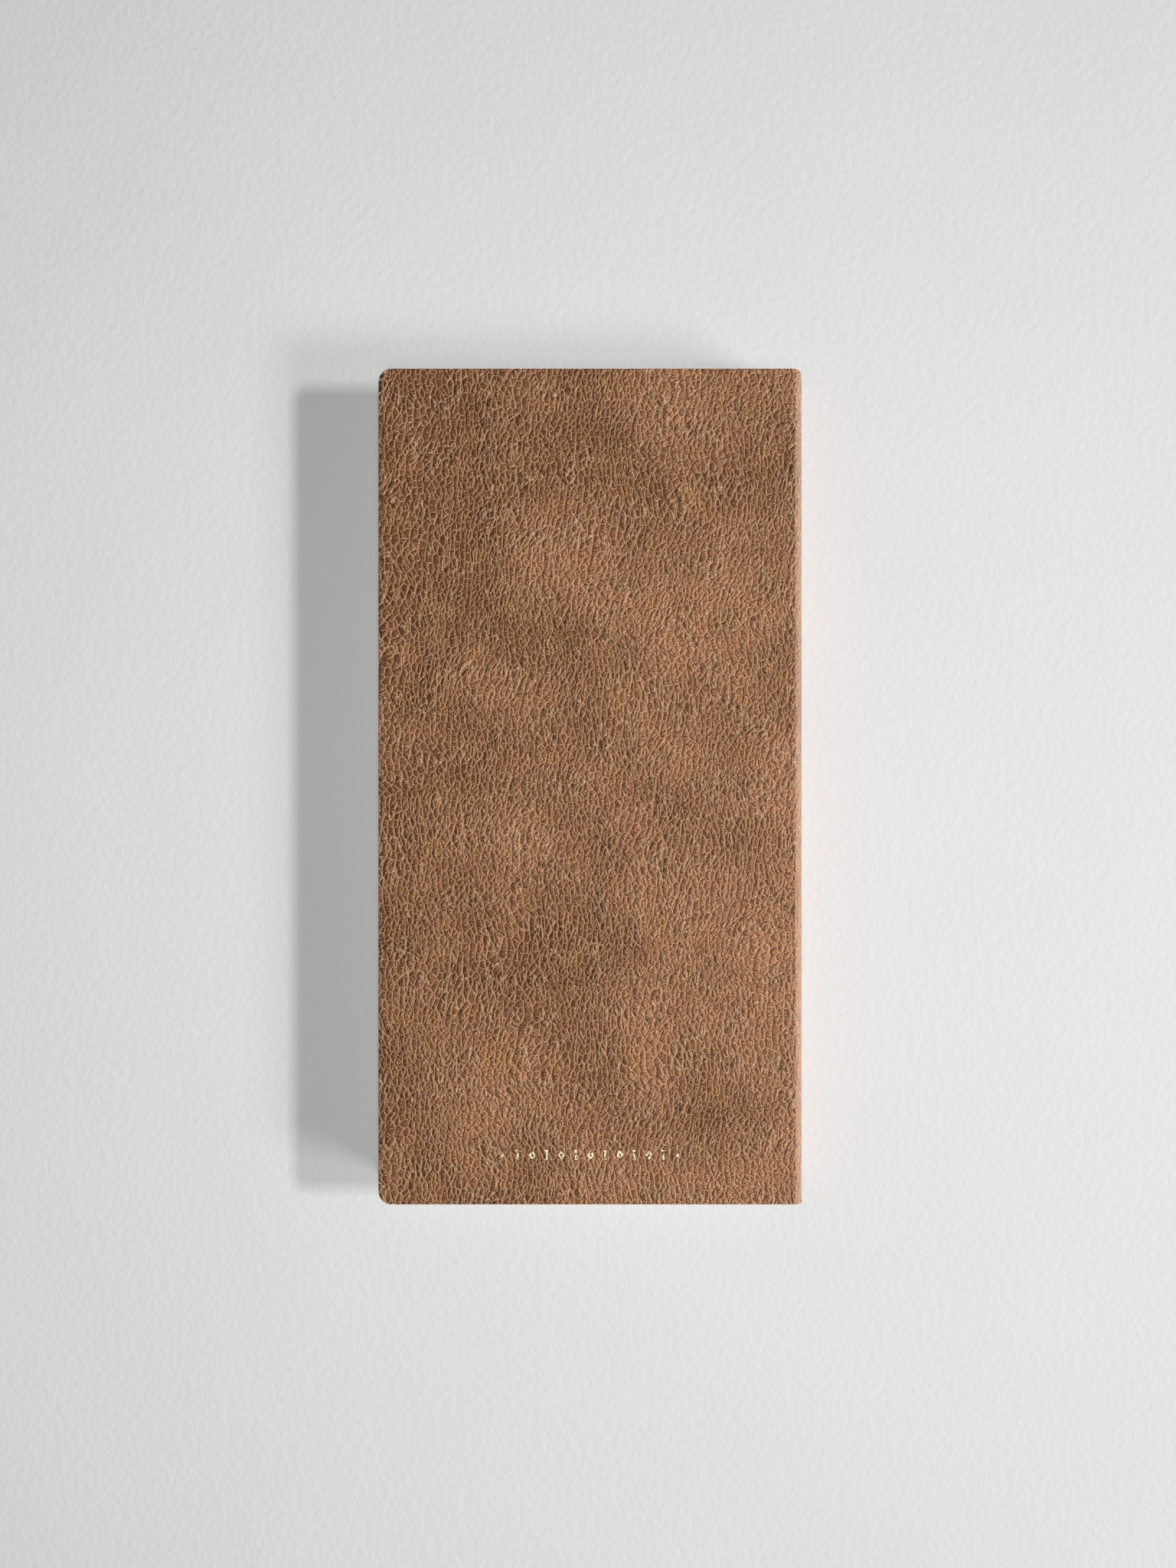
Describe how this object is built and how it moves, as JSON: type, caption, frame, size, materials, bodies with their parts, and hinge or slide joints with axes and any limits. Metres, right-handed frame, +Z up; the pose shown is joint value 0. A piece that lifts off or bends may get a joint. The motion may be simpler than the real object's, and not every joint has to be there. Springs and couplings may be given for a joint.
{
  "type": "softcover notebook",
  "caption": "Slim softcover notebook in a brown leather-look wrap, with sewn sections, an opening back cover, a flat-opening text block and a gilt tooled row.",
  "frame": {"origin": "middle of the closed book footprint, on the surface that its front cover lies on", "axes": "+X from the fore edge to the spine, +Y from tail to head, +Z up through the back cover"},
  "size_m": [0.096, 0.189, 0.0133],
  "materials": {
    "leather_brown": "pebbled grain, mottled tan and brown, soft sheen",
    "grey_card": "matte",
    "cream_paper": "matte, uncoated",
    "page_paper": "matte, uncoated",
    "lining_cloth": "open cotton weave under glue",
    "linen_thread": "twisted, matte",
    "gold_foil": "hot-stamped foil, bright"
  },
  "bodies": {
    "front_half": {"front_cover_leather": "leather_brown", "front_cover_board": "grey_card", "front_pastedown": "cream_paper", "front_flyleaf": "cream_paper", "section_01": "page_paper", "section_02": "page_paper", "section_03": "page_paper", "section_04": "page_paper", "section_05": "page_paper"},
    "spine": {"spine_leather": "leather_brown", "spine_board": "grey_card", "spine_lining": "lining_cloth", "sewing_thread_1": "linen_thread", "sewing_thread_2": "linen_thread", "sewing_thread_3": "linen_thread", "sewing_thread_4": "linen_thread", "sewing_thread_5": "linen_thread", "sewing_thread_6": "linen_thread"},
    "leaf_1": {"middle_leaf_1": "page_paper"},
    "leaf_2": {"middle_leaf_2": "page_paper"},
    "leaf_3": {"middle_leaf_3": "page_paper"},
    "leaf_4": {"middle_leaf_4": "page_paper"},
    "back_half": {"section_06": "page_paper", "section_07": "page_paper", "section_08": "page_paper", "section_09": "page_paper", "section_10": "page_paper", "back_flyleaf": "cream_paper"},
    "back_cover": {"back_cover_leather": "leather_brown", "back_cover_board": "grey_card", "back_pastedown": "cream_paper", "foil_mark_01": "gold_foil", "foil_mark_02": "gold_foil", "foil_mark_03": "gold_foil", "foil_mark_04": "gold_foil", "foil_mark_05": "gold_foil", "foil_mark_06": "gold_foil", "foil_mark_07": "gold_foil", "foil_mark_08": "gold_foil", "foil_mark_09": "gold_foil", "foil_mark_10": "gold_foil", "foil_mark_11": "gold_foil", "foil_mark_12": "gold_foil", "foil_mark_13": "gold_foil"}
  },
  "joints": [
    {"name": "book_opening", "type": "hinge", "parent": "front_half", "child": "spine", "pos_m": [0.04815, 0, -0.00015], "axis": [0, 1, 0], "range_deg": [0, 90]},
    {"name": "back_half_opening", "type": "hinge", "parent": "spine", "child": "back_half", "pos_m": [0.04815, 0, 0.01345], "axis": [0, 1, 0], "range_deg": [0, 90]},
    {"name": "leaf_1_turn", "type": "hinge", "parent": "spine", "child": "leaf_1", "pos_m": [0.0456, 0, 0.0062], "axis": [0, 1, 0], "range_deg": [-60, 0]},
    {"name": "leaf_2_turn", "type": "hinge", "parent": "spine", "child": "leaf_2", "pos_m": [0.0456, 0, 0.0065], "axis": [0, 1, 0], "range_deg": [-18, 0]},
    {"name": "leaf_3_turn", "type": "hinge", "parent": "spine", "child": "leaf_3", "pos_m": [0.0456, 0, 0.0068], "axis": [0, 1, 0], "range_deg": [0, 18]},
    {"name": "leaf_4_turn", "type": "hinge", "parent": "spine", "child": "leaf_4", "pos_m": [0.0456, 0, 0.0071], "axis": [0, 1, 0], "range_deg": [0, 60]},
    {"name": "back_cover_opening", "type": "hinge", "parent": "back_half", "child": "back_cover", "pos_m": [0.04815, 0, 0.01345], "axis": [0, 1, 0], "range_deg": [0, 180]}
  ],
  "couplings": [
    {"joint": "back_half_opening", "follows": "book_opening", "ratio": 1},
    {"joint": "leaf_1_turn", "follows": "book_opening", "ratio": -0.66667},
    {"joint": "leaf_2_turn", "follows": "book_opening", "ratio": -0.2},
    {"joint": "leaf_3_turn", "follows": "book_opening", "ratio": 0.2},
    {"joint": "leaf_4_turn", "follows": "book_opening", "ratio": 0.66667}
  ]
}
